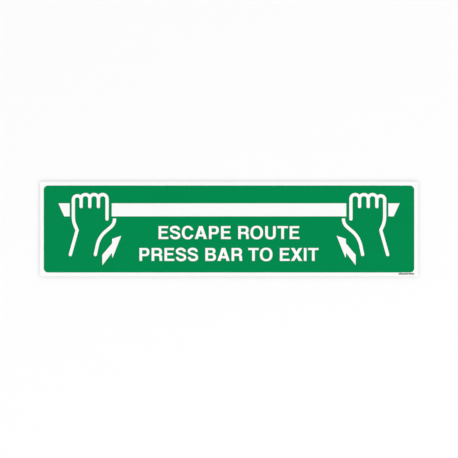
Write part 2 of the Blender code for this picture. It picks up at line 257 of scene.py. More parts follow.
# %% Set up the light
FILL_STRENGTH = 1.615
FILL_SPREAD = radians(2)
SOFTBOX_RING = 8
SOFTBOX_DISTANCE = 4.4
SOFTBOX_SIZE = 3.0
SOFTBOX_WATTS = 15.0
LEAN_RIGHT, LEAN_UP = 0.145, -0.36
BACK_WATTS = 26.0
BACK_PLACES = ((-1.5, 2.0, 1.1), (1.7, 2.0, 1.1))
BACK_LENGTH, BACK_HEIGHT = 1.4, 0.9
OVERHEAD_STRENGTH = 2.3
OVERHEAD_SPREAD = radians(30)
ROOM_STRENGTH = 0.23


def add_light(name, kind, place, target, **settings):
    """A light at a place, turned so that it shines along its -Z towards the target."""
    made = bpy.data.objects.new(name, bpy.data.lights.new(name, kind))
    for setting, value in settings.items():
        setattr(made.data, setting, value)
    made.location = place
    aim = Vector(target) - Vector(place)
    made.rotation_euler = aim.to_track_quat("-Z", "Y").to_euler()
    bpy.context.scene.collection.objects.link(made)
    return made


fill = add_light(
    "front_fill", "SUN", (0, -2, 0), (0, 0, 0), energy=FILL_STRENGTH, angle=FILL_SPREAD
)
fill.visible_glossy = False

for number in range(SOFTBOX_RING):
    around = 2 * pi * (number + 0.5) / SOFTBOX_RING
    reach = SOFTBOX_DISTANCE * np.sqrt(0.5)
    place = (reach * np.cos(around), -reach, reach * np.sin(around))
    lean = 1 + LEAN_RIGHT * np.cos(around) + LEAN_UP * np.sin(around)
    softbox = add_light(
        f"front_softbox_{number + 1}",
        "AREA",
        place,
        (0, 0, 0),
        shape="DISK",
        size=SOFTBOX_SIZE,
        energy=SOFTBOX_WATTS * lean,
    )
    softbox.visible_camera = False

overhead = add_light(
    "overhead", "SUN", (0, 0, 2), (0, 0, 0), energy=OVERHEAD_STRENGTH, angle=OVERHEAD_SPREAD
)

for number, place in enumerate(BACK_PLACES):
    softbox = add_light(
        f"back_softbox_{number + 1}",
        "AREA",
        place,
        (0, 0, 0),
        shape="RECTANGLE",
        size=BACK_LENGTH,
        size_y=BACK_HEIGHT,
        energy=BACK_WATTS,
    )
    softbox.visible_camera = False

floor_light = bpy.data.collections.new("floor_light")
sign_light = bpy.data.collections.new("sign_light")
for receivers, state in ((floor_light, "INCLUDE"), (sign_light, "EXCLUDE")):
    receivers.objects.link(floor)
    receivers.collection_objects[0].light_linking.link_state = state
for lamp in bpy.data.objects:
    if lamp.type == "LIGHT":
        receivers = floor_light if lamp == overhead else sign_light
        lamp.light_linking.receiver_collection = receivers
print(f"{len(bpy.data.lights)} lights")

# %% [markdown]
# ## The room
#
# The room is a world shader that depends on direction only. The camera sees it as an
# even pale backdrop, and everything else sees it lit from above and from the sides, with
# a darker part straight behind the camera.

# %% Build the room
BACKDROP = (0.90, 0.905, 0.91, 1.0)

world = bpy.data.worlds.new("room")
world.use_nodes = True
bpy.context.scene.world = world
room = world.node_tree
room.nodes.clear()
look = put(room, "TexCoord").outputs["Generated"]
parts = put(room, "SeparateXYZ", {"Vector": look}).outputs
behind_camera = between(room, parts["Y"], -0.97, -0.75, 0.05, 1.0)
from_above = between(room, parts["Z"], -0.2, 0.9, 0.75, 1.25)
behind_wall = between(room, parts["Y"], 0.0, 0.5, 1.0, 1.9)
level = figure(room, "MULTIPLY", behind_camera, from_above)
level = figure(room, "MULTIPLY", level, behind_wall)
strength = figure(room, "MULTIPLY", level, ROOM_STRENGTH)
lit = put(room, "Background", {"Color": (1, 1, 1, 1), "Strength": strength})
seen = put(room, "Background", {"Color": BACKDROP, "Strength": 1.0})
by_camera = put(room, "LightPath").outputs["Is Camera Ray"]
mixed = put(room, "MixShader", {0: by_camera, 1: lit.outputs[0], 2: seen.outputs[0]})
room.links.new(mixed.outputs[0], put(room, "OutputWorld").inputs["Surface"])
bpy.context.scene.view_settings.view_transform = "Standard"
print("room", [node.bl_label for node in room.nodes])

# %% [markdown]
# ## Outlines
#
# Every flat part of the sign was cut from a sheet, so its whole shape is in its outline.
# The solid model holds it as loose triangles. The edges of the front face that only one
# triangle has are the cut edges, and following them from point to point gives the
# outlines. Reading them keeps each new surface exactly where the solid is.

# %% Read the outlines of a solid
WELD = 1e-6


def front_outlines(node_name):
    """The closed outlines of a solid's front face, each an array of X and Z.

    Of each triangle that lies in the plane of least Y, the three directed edges are
    numbered from x count + to. An edge is on the outline if its reverse isn't there.
    Following an outline is done by doubling: jumps of one point give two points, jumps
    of two give four, until the walk is back at its start. The material is on the left.
    """
    mesh = frame["nodes"][node_name].data
    corners = np.empty(len(mesh.loops), dtype=np.int32)
    mesh.loops.foreach_get("vertex_index", corners)
    places = np.empty(len(mesh.vertices) * 3)
    mesh.vertices.foreach_get("co", places)
    triangles = places.reshape(-1, 3)[corners].reshape(-1, 3, 3)
    depth = triangles[..., 1]
    face = triangles[(depth < depth.min() + WELD * 10).all(axis=1)]

    flat = face.reshape(-1, 3)[:, (0, 2)]
    _, first, index = np.unique(
        np.round(flat / WELD), axis=0, return_index=True, return_inverse=True
    )
    points = flat[first]
    count = len(points)
    index = index.reshape(-1, 3)
    edges = np.concatenate([index[:, (0, 1)], index[:, (1, 2)], index[:, (2, 0)]])
    reverse = edges[:, 1] * count + edges[:, 0]
    open_edges = edges[~np.isin(edges[:, 0] * count + edges[:, 1], reverse)]
    follow = np.arange(count)
    follow[open_edges[:, 0]] = open_edges[:, 1]

    outlines = []
    left = np.unique(open_edges)
    while left.size:
        walk, leap = left[:1], follow
        while walk[0] not in walk[1:]:
            walk = np.concatenate([walk, leap[walk]])
            leap = leap[leap]
        walk = walk[: np.flatnonzero(walk[1:] == walk[0])[0] + 1]
        outlines.append(points[walk])
        left = np.setdiff1d(left, walk)
    return outlines


for node_name in ("front_skin", "left_fingers", "letter_lower_06_B"):
    found = front_outlines(node_name)
    print(node_name, [len(outline) for outline in found], "points")

# %% [markdown]
# ## Smooth curves
#
# A plotter's knife cuts true curves, and the solid holds them as short straight steps. A
# turn of more than about thirty degrees is a real corner and stays sharp. Everything
# gentler is a step of a curve, and gets new points on a cubic curve through its ends.

# %% Smooth an outline
CORNER_TURN = radians(29)
RUN_RATIO = 2.5
CURVE_PARTS = 3


def edge_facts(outline):
    """Each edge's length and unit direction, and the turn at the point it starts from."""
    edge = np.roll(outline, -1, axis=0) - outline
    length = np.linalg.norm(edge, axis=1)
    unit = edge / length[:, None]
    before = np.roll(unit, 1, axis=0)
    cross = before[:, 0] * unit[:, 1] - before[:, 1] * unit[:, 0]
    return length, unit, np.arctan2(cross, (before * unit).sum(axis=1))


def smooth_outline(outline):
    """The outline with its curved stretches refined.

    An edge much longer than a neighbour is a straight run. At the end of a run the
    curve's tangent is the run's direction, and at other gentle points it is the
    direction from the point before to the point after. At a corner it is the tangent at
    the edge's other end, mirrored in the edge. Between points p and q with tangents m
    and n times the edge's length, the curve at t is Hermite's:
    (2t^3-3t^2+1) p + (t^3-2t^2+t) m + (3t^2-2t^3) q + (t^3-t^2) n.
    """
    length, unit, turn = edge_facts(outline)
    corner = np.abs(turn) > CORNER_TURN
    shorter = np.minimum(np.roll(length, 1), np.roll(length, -1))
    both_corners = corner & np.roll(corner, -1)
    run = (length > RUN_RATIO * shorter) | both_corners
    run_before = np.roll(run, 1)

    tangent = np.roll(outline, -1, axis=0) - np.roll(outline, 1, axis=0)
    tangent /= np.linalg.norm(tangent, axis=1)[:, None]
    tangent = np.where(run_before[:, None], np.roll(unit, 1, axis=0), tangent)
    tangent = np.where(run[:, None], unit, tangent)
    start, end = tangent, np.roll(tangent, -1, axis=0)
    mirror_end = 2 * (end * unit).sum(axis=1)[:, None] * unit - end
    mirror_start = 2 * (start * unit).sum(axis=1)[:, None] * unit - start
    end_corner = np.roll(corner, -1)
    start = np.where(corner[:, None], mirror_end, start)
    end = np.where(end_corner[:, None], mirror_start, end)

    t = (np.arange(CURVE_PARTS) / CURVE_PARTS)[None, :, None]
    p, q = outline[:, None], np.roll(outline, -1, axis=0)[:, None]
    m, n = (start * length[:, None])[:, None], (end * length[:, None])[:, None]
    curve = (
        (2 * t**3 - 3 * t**2 + 1) * p
        + (t**3 - 2 * t**2 + t) * m
        + (3 * t**2 - 2 * t**3) * q
        + (t**3 - t**2) * n
    )
    keep = np.ones(curve.shape[:2], dtype=bool)
    keep[:, 1:] = ~run[:, None]
    return curve[keep]


for node_name in ("left_fingers", "letter_upper_02_S"):
    rough = front_outlines(node_name)[0]
    print(node_name, len(rough), "points become", len(smooth_outline(rough)))

# %% [markdown]
# ## Steps, insets and ripples
#
# Three small helpers shape an edge. One puts points at even steps along the straight
# runs, where an edge is uneven. One gives the direction in which every point moves when
# the outline shrinks. One makes the small unevenness of a hand-fed saw or a soft foam.

# %% Helpers for edges
SINES = 14


def even_steps(outline, step):
    """Each edge divided into equal parts of about the step: start + part x edge."""
    edge = np.roll(outline, -1, axis=0) - outline
    parts = np.maximum(1, np.rint(np.linalg.norm(edge, axis=1) / step)).astype(int)
    source = np.repeat(np.arange(len(outline)), parts)
    first = np.repeat(np.cumsum(parts) - parts, parts)
    share = (np.arange(parts.sum()) - first) / parts[source]
    return outline[source] + share[:, None] * edge[source]


def inward(outline):
    """The move at each point that shifts both of its edges inwards by one unit.

    With m and n the left-hand normals of the edges before and after the point, it is
    (m + n) / (1 + m.n), the mitre at a frame's corner.
    """
    _, unit, _ = edge_facts(outline)
    after = np.stack([-unit[:, 1], unit[:, 0]], axis=1)
    before = np.roll(after, 1, axis=0)
    return (before + after) / (1 + (before * after).sum(axis=1))[:, None]


def laps(outline):
    """How far round the outline each point is, from 0 to 1."""
    length, _, _ = edge_facts(outline)
    return (np.cumsum(length) - length) / length.sum()


def ripple(lap, waves, seed):
    """An uneven closed wave: the mean of sines that fit a lap a whole number of times.

    Each sine's number of waves is drawn from half to twice the given number.
    """
    chance = np.random.default_rng(seed)
    numbers = chance.integers(waves // 2, waves * 2, size=SINES)
    phases = chance.uniform(0, 2 * pi, size=SINES)
    return np.sin(2 * pi * lap[:, None] * numbers + phases).mean(axis=1)


print("mitre at a square corner", inward(np.array([(0, 0), (1, 0), (1, 1), (0, 1)]))[0])

# %% [markdown]
# ## A slab with a shaped edge
#
# Film, sheet metal and foam tape are all slabs, and what tells them apart is the edge.
# So one function carries an edge profile along the outline and fills the two faces. The
# faces stop a little inside the edge, on a narrow flat ring, which keeps them from
# picking up the shading of the rounded shoulder.

# %% Make a slab
SHARP_ANGLE = radians(40)
KEEP_INSIDE = 1
MERGE_DISTANCE = 1e-6
pieces = {}


def fill(ring, here, there):
    """Triangles that fill a flat ring of points, with the holes left out.

    The triangulation works in single precision, so it is given millimetres. It fills
    the holes too. A ray from a triangle's middle along +X crosses the outlines an odd
    number of times if the triangle is material.
    """
    edges = np.stack([here, there], axis=1).tolist()
    points = [Vector(point) for point in (ring * 1000).tolist()]
    found = delaunay_2d_cdt(points, edges, [], KEEP_INSIDE, MERGE_DISTANCE)
    origin = np.array([ids[0] for ids in found[3]])
    triangles = origin[np.array(found[2])]
    x, z = ring[triangles].mean(axis=1).T[..., None]
    (start_x, start_z), (end_x, end_z) = ring[here].T, ring[there].T
    with np.errstate(divide="ignore", invalid="ignore"):
        crossing_x = start_x + (z - start_z) * (end_x - start_x) / (end_z - start_z)
    crossed = ((start_z > z) != (end_z > z)) & (crossing_x > x)
    return triangles[crossed.sum(axis=1) % 2 == 1]


def slab(name, outlines, section, finishes, face_rows=(0, None), sway=0.0):
    """A flat piece with a shaped edge, closed at the front and the back.

    The point on row i of the section and at place j of the outline is
    outline(j) + (inset(i) + sway(i, j)) x inward(j), at the depth y(i). The section's
    rows run from the back face round the edge to the front face. The finishes are those
    of the back, the edge and the front. The rows below face_rows[0] take the finish of
    the back, and those from face_rows[1] on take that of the front.
    """
    inset, depth = np.array(section).T
    flat = np.concatenate(outlines)
    move = np.concatenate([inward(outline) for outline in outlines])
    size = len(flat)
    points = np.empty((len(inset), size, 3))
    points[..., (0, 2)] = flat + (inset[:, None] + sway)[..., None] * move
    points[..., 1] = depth[:, None]

    here = np.arange(size)
    ends = np.cumsum([len(outline) for outline in outlines])
    there = here + 1
    there[ends - 1] = np.concatenate([[0], ends[:-1]])
    low = size * np.arange(len(inset) - 1)[:, None]
    sides = np.stack([low + here, low + there, low + there + size, low + here + size], axis=-1)
    front = fill(points[-1][:, (0, 2)], here, there) + size * (len(inset) - 1)
    back = fill(points[0][:, (0, 2)], here, there)[:, ::-1]

    mesh = bpy.data.meshes.new(name)
    faces = [*sides.reshape(-1, 4).tolist(), *front.tolist(), *back.tolist()]
    mesh.from_pydata(points.reshape(-1, 3), [], faces)
    strip = np.ones(len(sides), dtype=np.int32)
    strip[: face_rows[0]] = 0
    strip[face_rows[1] or len(sides) :] = 2
    part = np.concatenate([np.repeat(strip, size), np.full(len(front), 2), np.zeros(len(back))])
    mesh.polygons.foreach_set("material_index", part.astype(np.int32))
    for finish in finishes:
        mesh.materials.append(finish)
    mesh.shade_smooth()
    mesh.set_sharp_from_angle(angle=SHARP_ANGLE)
    made = bpy.data.objects.new(name, mesh)
    bpy.context.scene.collection.objects.link(made)
    pieces[name] = made
    return made


def stands_for(piece, node_name):
    """Show a piece in place of a solid, on the sign's one body."""
    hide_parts(node_name)
    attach(piece, "root")


print("slab ready")

# %% [markdown]
# ## Effects as node groups
#
# Some effects belong to more than one finish: dust settles on every film, and cut metal
# and sawn plastic both show the marks of a blade. Each is a node group, built once, with
# its sizes in metres as named inputs. A group only puts out numbers that vary over the
# surface, and each material decides what they do to its colour, gloss and relief.

# %% Helpers for effects
def effect(name, sizes, outputs):
    """A new node group, with its input sockets' outputs and its output node's inputs."""
    made = bpy.data.node_groups.new(name, "ShaderNodeTree")
    made.interface.new_socket("Place", in_out="INPUT", socket_type="NodeSocketVector")
    for label, size in sizes.items():
        socket = made.interface.new_socket(label, in_out="INPUT", socket_type="NodeSocketFloat")
        socket.default_value = size
    for label in outputs:
        made.interface.new_socket(label, in_out="OUTPUT", socket_type="NodeSocketFloat")
    inside = made.nodes.new("NodeGroupInput").outputs
    return made, inside, made.nodes.new("NodeGroupOutput").inputs


def stretched(tree, place, factors):
    """The place times one factor for each of X, Y and Z."""
    return put(tree, "VectorMath", {0: place, 1: factors}, operation="MULTIPLY").outputs[0]


def noise(tree, place, scale, detail=2.0):
    """A cloudy value from 0 to 1, with about as many lumps to a metre as the scale."""
    values = {"Vector": place, "Scale": scale, "Detail": detail}
    return put(tree, "TexNoise", values).outputs[0]


print("helpers ready")

# %% [markdown]
# ## Laid film
#
# Vinyl film follows the sheet that it is laid on, and its own surface has the fine
# dimples called orange peel. The squeegee that presses it down leaves faint streaks
# along the sign. The relief is the sum of three waves: the dimples, about 1.5 mm apart,
# the streaks, and the slow waves of the sheet itself. A coil coating dries with the same
# kind of dimples, so the white front of the panel uses this too.

# %% Build the laid film effect
laid_film, given, result = effect(
    "laid_film",
    {"Peel Size": 0.0015, "Peel Height": 1.5e-5, "Streak Height": 6e-7, "Wave Height": 5e-5},
    ["Height", "Streak", "Drift", "Dimple"],
)
peel_scale = figure(laid_film, "DIVIDE", 1.0, given["Peel Size"])
peel = noise(laid_film, given["Place"], peel_scale, 1.5)
streak = noise(laid_film, stretched(laid_film, given["Place"], (5, 190, 190)), 1.0, 3.0)
slow = noise(laid_film, stretched(laid_film, given["Place"], (14, 20, 22)), 1.0, 1.0)
drift = noise(laid_film, stretched(laid_film, given["Place"], (9, 30, 30)), 1.0, 3.0)
waves = ((peel, "Peel Height"), (streak, "Streak Height"), (slow, "Wave Height"))
relief = weighted(laid_film, 0.0, *((wave, given[height]) for wave, height in waves))
laid_film.links.new(relief, result["Height"])
laid_film.links.new(between(laid_film, streak, 0.3, 0.7), result["Streak"])
laid_film.links.new(between(laid_film, drift, 0.25, 0.75), result["Drift"])
# Dimple is 1 in the hollows of the orange peel, and the films use it to paint shade into their
# colour there.
laid_film.links.new(between(laid_film, peel, 0.6, 0.3), result["Dimple"])
print(laid_film.name, len(laid_film.nodes), "nodes")

# %% [markdown]
# ## Settled dust
#
# A few specks of dust land anywhere. A Voronoi texture scatters one point to a cell, and
# its random colour decides which cells have a speck and how big it is, so the specks
# never make a grid.

# %% Build the settled dust effect
settled_dust, given, result = effect(
    "settled_dust", {"Spread": 0.006, "Share": 0.2}, ["Speck"]
)
cells = put(
    settled_dust,
    "TexVoronoi",
    {"Vector": given["Place"], "Scale": figure(settled_dust, "DIVIDE", 1.0, given["Spread"])},
)
chance = put(settled_dust, "SeparateColor", {"Color": cells.outputs["Color"]}).outputs
radius = between(settled_dust, chance["Red"], 0.0, 1.0, 0.015, 0.055)
inside = figure(settled_dust, "LESS_THAN", cells.outputs["Distance"], radius)
chosen = figure(settled_dust, "LESS_THAN", chance["Green"], given["Share"])
speck = figure(settled_dust, "MULTIPLY", inside, chosen)
settled_dust.links.new(speck, result["Speck"])
print(settled_dust.name, len(settled_dust.nodes), "nodes")

# %% [markdown]
# ## Drag marks
#
# A shear or a saw drags fine lines straight through the thickness of a sheet. All round
# the sign these lines depend only on how far along the edge they are. X + Z grows along
# every edge, long or short, so a noise of that one number draws them everywhere.

# %% Build the drag marks effect
drag_marks, given, result = effect(
    "drag_marks", {"Spacing": 0.0006, "Depth": 1.2e-5}, ["Mark", "Height"]
)
parts = put(drag_marks, "SeparateXYZ", {"Vector": given["Place"]}).outputs
along = figure(drag_marks, "ADD", parts["X"], parts["Z"])
along = figure(drag_marks, "DIVIDE", along, given["Spacing"])
lines = put(
    drag_marks, "TexNoise", {"W": along, "Scale": 1.0, "Detail": 3.0}, noise_dimensions="1D"
).outputs[0]
mark = between(drag_marks, lines, 0.3, 0.7)
drag_marks.links.new(mark, result["Mark"])
drag_marks.links.new(figure(drag_marks, "MULTIPLY", mark, given["Depth"]), result["Height"])
print(drag_marks.name, len(drag_marks.nodes), "nodes")

# %% [markdown]
# ## Handled edges
#
# Sheets are gripped, stacked and slid by their edges, so scuffs crowd there. The
# distance to the nearest edge of the panel is the smaller of half the length less |X|
# and half the height less |Z|. A noise breaks the band up.

# %% Build the handled edges effect
handled_edges, given, result = effect(
    "handled_edges", {"Reach": 0.003, "Grain": 0.004}, ["Scuff"]
)
parts = put(handled_edges, "SeparateXYZ", {"Vector": given["Place"]}).outputs
from_end = figure(
    handled_edges, "SUBTRACT", sign_length / 2, figure(handled_edges, "ABSOLUTE", parts["X"])
)
from_side = figure(
    handled_edges, "SUBTRACT", sign_height / 2, figure(handled_edges, "ABSOLUTE", parts["Z"])
)
nearest = figure(handled_edges, "MINIMUM", from_end, from_side)
reaches = figure(handled_edges, "DIVIDE", nearest, given["Reach"])
nearness = between(handled_edges, reaches, 1.0, 0.0)
patches = noise(
    handled_edges, given["Place"], figure(handled_edges, "DIVIDE", 1.0, given["Grain"]), 4.0
)
broken = between(handled_edges, patches, 0.5, 0.72)
handled_edges.links.new(figure(handled_edges, "MULTIPLY", nearness, broken), result["Scuff"])
print(handled_edges.name, len(handled_edges.nodes), "nodes")

# %% [markdown]
# ## Closed cells
#
# Acrylic foam is full of tiny closed bubbles about a quarter of a millimetre across. A
# Voronoi texture's distance is lowest in the middle of a cell, which makes the dent of
# an opened bubble. The finishes also darken their colour in the dents, as painted shade.

# %% Build the closed cells effect
closed_cells, given, result = effect(
    "closed_cells", {"Bubble": 0.0003, "Depth": 3e-5}, ["Dent", "Height"]
)
bubbles = put(
    closed_cells,
    "TexVoronoi",
    {"Vector": given["Place"], "Scale": figure(closed_cells, "DIVIDE", 1.0, given["Bubble"])},
)
rise = between(closed_cells, bubbles.outputs["Distance"], 0.1, 0.65)
closed_cells.links.new(figure(closed_cells, "SUBTRACT", 1.0, rise), result["Dent"])
closed_cells.links.new(figure(closed_cells, "MULTIPLY", rise, given["Depth"]), result["Height"])
print(closed_cells.name, len(closed_cells.nodes), "nodes")

# %% [markdown]
# ## A helper for finishes
#
# All the finishes end the same way: one colour is mixed towards others by the effects'
# masks, the heights go through one Bump node, and a Principled BSDF takes the results.
# The heights are in metres, so the Bump node's distance is 1.

# %% Helper for finishes
COLOUR_A, COLOUR_B, COLOUR_OUT = 6, 7, 2


def mix_towards(tree, base, other, mask, amount=1.0):
    """A colour carried towards another where the mask is, by at most the amount.

    A Mix node has sockets of the same name for each kind of value, so the colour
    sockets are given by number.
    """
    share = figure(tree, "MULTIPLY", mask, amount)
    values = {"Factor": share, COLOUR_A: base, COLOUR_B: other}
    return put(tree, "Mix", values, data_type="RGBA").outputs[COLOUR_OUT]


def finish(material, colour, roughness, height, **constants):
    """End a material in a Principled BSDF with its varying inputs and its constants."""
    tree = material.node_tree
    values = {"Base Color": colour, "Roughness": roughness}
    values |= {label.replace("_", " "): value for label, value in constants.items()}
    bump = put(tree, "Bump", {"Strength": 1.0, "Distance": 1.0, "Height": height})
    values["Normal"] = bump.outputs[0]
    shader = put(tree, "BsdfPrincipled", values)
    output = next(node for node in tree.nodes if node.bl_idname == "ShaderNodeOutputMaterial")
    tree.links.new(shader.outputs[0], output.inputs["Surface"])
    print(material.name, len(tree.nodes), "nodes")
    return material


def use(tree, group, **sizes):
    """Place an effect in a material, with its own sizes, on the object's coordinates."""
    place = put(tree, "TexCoord").outputs["Object"]
    values = {"Place": place} | {label.replace("_", " "): size for label, size in sizes.items()}
    return put(tree, "Group", values, node_tree=group).outputs


# %% [markdown]
# ## White and green film
#
# Both films are calendered vinyl with a satin gloss. The pigment is even, so the colour
# only drifts by about one part in a hundred, and the detail is in the surface: dimples
# with painted shade in their hollows, three parts in a hundred darker, squeegee streaks
# that are a little glossier, and a speck of dust here and there.

# %% Make the two films
PAINTED_DIMPLE_SHADE = 0.03


def vinyl(name, colour, drifted, dust):
    """A film's finish, from its colour, the colour it drifts to and its dust's colour."""
    made, tree, _ = empty_material(name)
    film = use(tree, laid_film)
    speck = use(tree, settled_dust, Spread=0.007, Share=0.18)["Speck"]
    tint = mix_towards(tree, colour, drifted, film["Drift"])
    # Painted shade: the colour is darkened towards black in the hollows of the orange peel.
    tint = mix_towards(tree, tint, (0.0, 0.0, 0.0, 1), film["Dimple"], PAINTED_DIMPLE_SHADE)
    tint = mix_towards(tree, tint, dust, speck, 0.5)
    uneven = ((film["Streak"], 0.03), (film["Drift"], 0.03), (speck, 0.4))
    roughness = weighted(tree, 0.20, *uneven)
    height = weighted(tree, film["Height"], (speck, 2e-5))
    return finish(made, tint, roughness, height, Specular_IOR_Level=0.4)


white_film = vinyl(
    "white_vinyl", (0.945, 0.945, 0.94, 1), (0.93, 0.93, 0.92, 1), (0.6, 0.58, 0.54, 1)
)
green_film = vinyl(
    "green_vinyl", (0.0, 0.246, 0.0748, 1), (0.0, 0.239, 0.0718, 1), (0.3, 0.4, 0.32, 1)
)

# %% [markdown]
# ## The panel's white front
#
# The front sheet is coated in a coil line before it becomes part of the panel. Its
# dimples are a little wider than those of film, it has a thin clear gloss on top, and
# its edges show slight greyish scuffs from handling. Signs often carry tiny print in a
# lower corner of the border. Here it is two rows of plain dashes: ink where a point is
# inside a thin box in X and Z and a noise along X, different for each row, is above a
# threshold.

# %% Make the white coating
PRINT_MIDDLE = (0.2816, -0.0711)
PRINT_HALF = (0.0127, 0.00125)
ROW_GAP = 0.0003
DASH_LENGTH = 0.0009
DASH_LEVEL = 0.38
ROW_SHIFT = 40.0


def dashes(tree):
    """A mask that is 1 inside two rows of printed dashes and 0 elsewhere."""
    place = put(tree, "TexCoord").outputs["Object"]
    parts = put(tree, "SeparateXYZ", {"Vector": place}).outputs
    across, up = (figure(tree, "SUBTRACT", parts[a], m) for a, m in zip("XZ", PRINT_MIDDLE))
    upper_row = figure(tree, "MULTIPLY", figure(tree, "GREATER_THAN", up, 0.0), ROW_SHIFT)
    along = figure(tree, "ADD", figure(tree, "DIVIDE", across, DASH_LENGTH), upper_row)
    grain = {"W": along, "Scale": 1.0, "Detail": 1.0}
    ink = put(tree, "TexNoise", grain, noise_dimensions="1D").outputs[0]
    ink = figure(tree, "GREATER_THAN", ink, DASH_LEVEL)
    across, up = figure(tree, "ABSOLUTE", across), figure(tree, "ABSOLUTE", up)
    for off, limit in zip((across, up), PRINT_HALF):
        ink = figure(tree, "MULTIPLY", ink, figure(tree, "LESS_THAN", off, limit))
    return figure(tree, "MULTIPLY", ink, figure(tree, "GREATER_THAN", up, ROW_GAP / 2))


coil_coating, tree, _ = empty_material("coil_coating")
film = use(tree, laid_film, Peel_Size=0.0024, Peel_Height=1.8e-5, Streak_Height=5e-7)
scuff = use(tree, handled_edges, Reach=0.0022, Grain=0.003)["Scuff"]
speck = use(tree, settled_dust, Spread=0.008, Share=0.2)["Speck"]
tint = mix_towards(tree, (0.965, 0.965, 0.96, 1), (0.95, 0.952, 0.946, 1), film["Drift"])
tint = mix_towards(tree, tint, (0.62, 0.62, 0.61, 1), scuff, 0.22)
tint = mix_towards(tree, tint, (0.55, 0.53, 0.5, 1), speck, 0.5)
tint = mix_towards(tree, tint, (0.015, 0.015, 0.015, 1), dashes(tree))
finish(
    coil_coating,
    tint,
    weighted(tree, 0.26, (film["Drift"], 0.05), (scuff, 0.3), (speck, 0.3)),
    weighted(tree, film["Height"], (scuff, -4e-6)),
    Coat_Weight=0.15,
    Coat_Roughness=0.12,
)

# %% [markdown]
# ## Bare aluminium
#
# The back sheet has the mill's own finish: long fine lines from the rolls, and dull
# patches where it was handled. The cut edges of both sheets are brighter, and the shear
# has dragged lines across them.

# %% Make the mill finish and the sheared edge
mill_sheet, tree, _ = empty_material("mill_sheet")
place = put(tree, "TexCoord").outputs["Object"]
fine = noise(tree, stretched(tree, place, (10, 3200, 3200)), 1.0, 3.0)
broad = noise(tree, stretched(tree, place, (2.5, 420, 420)), 1.0, 3.0)
slow = noise(tree, stretched(tree, place, (14, 20, 22)), 1.0, 1.0)
smudge = between(tree, noise(tree, stretched(tree, place, (26, 40, 40)), 1.0, 5.0), 0.52, 0.74)
scuff = use(tree, handled_edges, Reach=0.006, Grain=0.0035)["Scuff"]
speck = use(tree, settled_dust, Spread=0.006, Share=0.25)["Speck"]
line = between(tree, broad, 0.32, 0.68)
tint = mix_towards(tree, (0.86, 0.87, 0.88, 1), (0.76, 0.77, 0.785, 1), line)
tint = mix_towards(tree, tint, (0.93, 0.935, 0.94, 1), between(tree, fine, 0.45, 0.7), 0.6)
tint = mix_towards(tree, tint, (0.72, 0.72, 0.72, 1), smudge, 0.35)
tint = mix_towards(tree, tint, (0.95, 0.95, 0.95, 1), scuff, 0.4)
tint = mix_towards(tree, tint, (0.38, 0.37, 0.35, 1), speck, 0.6)
uneven = ((fine, 0.10), (line, 0.06), (smudge, 0.08), (scuff, 0.08), (speck, 0.4))
finish(
    mill_sheet,
    tint,
    weighted(tree, 0.26, *uneven),
    weighted(tree, 0.0, (fine, 1.5e-6), (broad, 5e-6), (slow, 7e-5)),
    Metallic=1.0,
)

sheared_edge, tree, _ = empty_material("sheared_edge")
drag = use(tree, drag_marks, Spacing=0.00035, Depth=7e-6)
tint = mix_towards(tree, (0.86, 0.87, 0.88, 1), (0.62, 0.63, 0.64, 1), drag["Mark"])
roughness = weighted(tree, 0.24, (drag["Mark"], 0.22))
finish(sheared_edge, tint, roughness, drag["Height"], Metallic=1.0)

# %% [markdown]
# ## The sawn core
#
# The core is dark polyethylene. The blade smears it, so the marks are wider than on the
# metal and their crests are paler, and a few grains of swarf stay behind.

# %% Make the sawn plastic
sawn_plastic, tree, _ = empty_material("sawn_plastic")
drag = use(tree, drag_marks, Spacing=0.0011, Depth=3.5e-5)
swarf = use(tree, settled_dust, Spread=0.0022, Share=0.3)["Speck"]
tint = mix_towards(tree, (0.022, 0.023, 0.025, 1), (0.085, 0.087, 0.09, 1), drag["Mark"])
tint = mix_towards(tree, tint, (0.30, 0.30, 0.30, 1), swarf, 0.8)
roughness = weighted(tree, 0.48, (drag["Mark"], 0.2), (swarf, 0.2))
finish(sawn_plastic, tint, roughness, drag["Height"])

# %% [markdown]
# ## Foam tape
#
# The tape is grey acrylic foam. Its face is a smooth tacky skin over the bubbles, which
# shines and holds dust. Its sides were slit with a knife, which opened the bubbles, so
# they are matt and pitted. On both, the colour is darker in the bubbles' dents: painted
# shade.

# %% Make the tape's face and sides
foam_face, tree, _ = empty_material("foam_face")
cells = use(tree, closed_cells, Bubble=0.0007, Depth=1.6e-5)
place = put(tree, "TexCoord").outputs["Object"]
damp = between(tree, noise(tree, place, 90.0, 3.0), 0.35, 0.65)
dust = use(tree, settled_dust, Spread=0.004, Share=0.3)["Speck"]
# Painted shade: the colour is darker in the dents of the bubbles.
tint = mix_towards(tree, (0.15, 0.155, 0.16, 1), (0.105, 0.108, 0.112, 1), cells["Dent"])
tint = mix_towards(tree, tint, (0.19, 0.195, 0.20, 1), damp, 0.5)
tint = mix_towards(tree, tint, (0.5, 0.48, 0.45, 1), dust, 0.7)
finish(
    foam_face,
    tint,
    weighted(tree, 0.30, (damp, 0.22), (cells["Dent"], 0.1), (dust, 0.3)),
    weighted(tree, cells["Height"], (damp, 4e-5)),
)

foam_side, tree, _ = empty_material("foam_side")
cells = use(tree, closed_cells, Bubble=0.00028, Depth=6e-5)
# Painted shade: the colour is darker in the dents of the opened bubbles.
tint = mix_towards(tree, (0.17, 0.175, 0.18, 1), (0.07, 0.072, 0.075, 1), cells["Dent"])
finish(foam_side, tint, weighted(tree, 0.78, (cells["Dent"], 0.15)), cells["Height"])

# %% [markdown]
# ## The layers
#
# The solid model keeps a thin gap between its layers, so that a simulation never finds
# them stuck in each other. The real layers touch. Each piece keeps the front plane of
# its solid and reaches back to the front plane of the layer behind it, and the tape
# reaches forward to the panel.

# %% Find the planes of the layers
def front_of(node_name):
    """The plane of a solid's front face, as its place along Y."""
    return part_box(node_name)[0].y


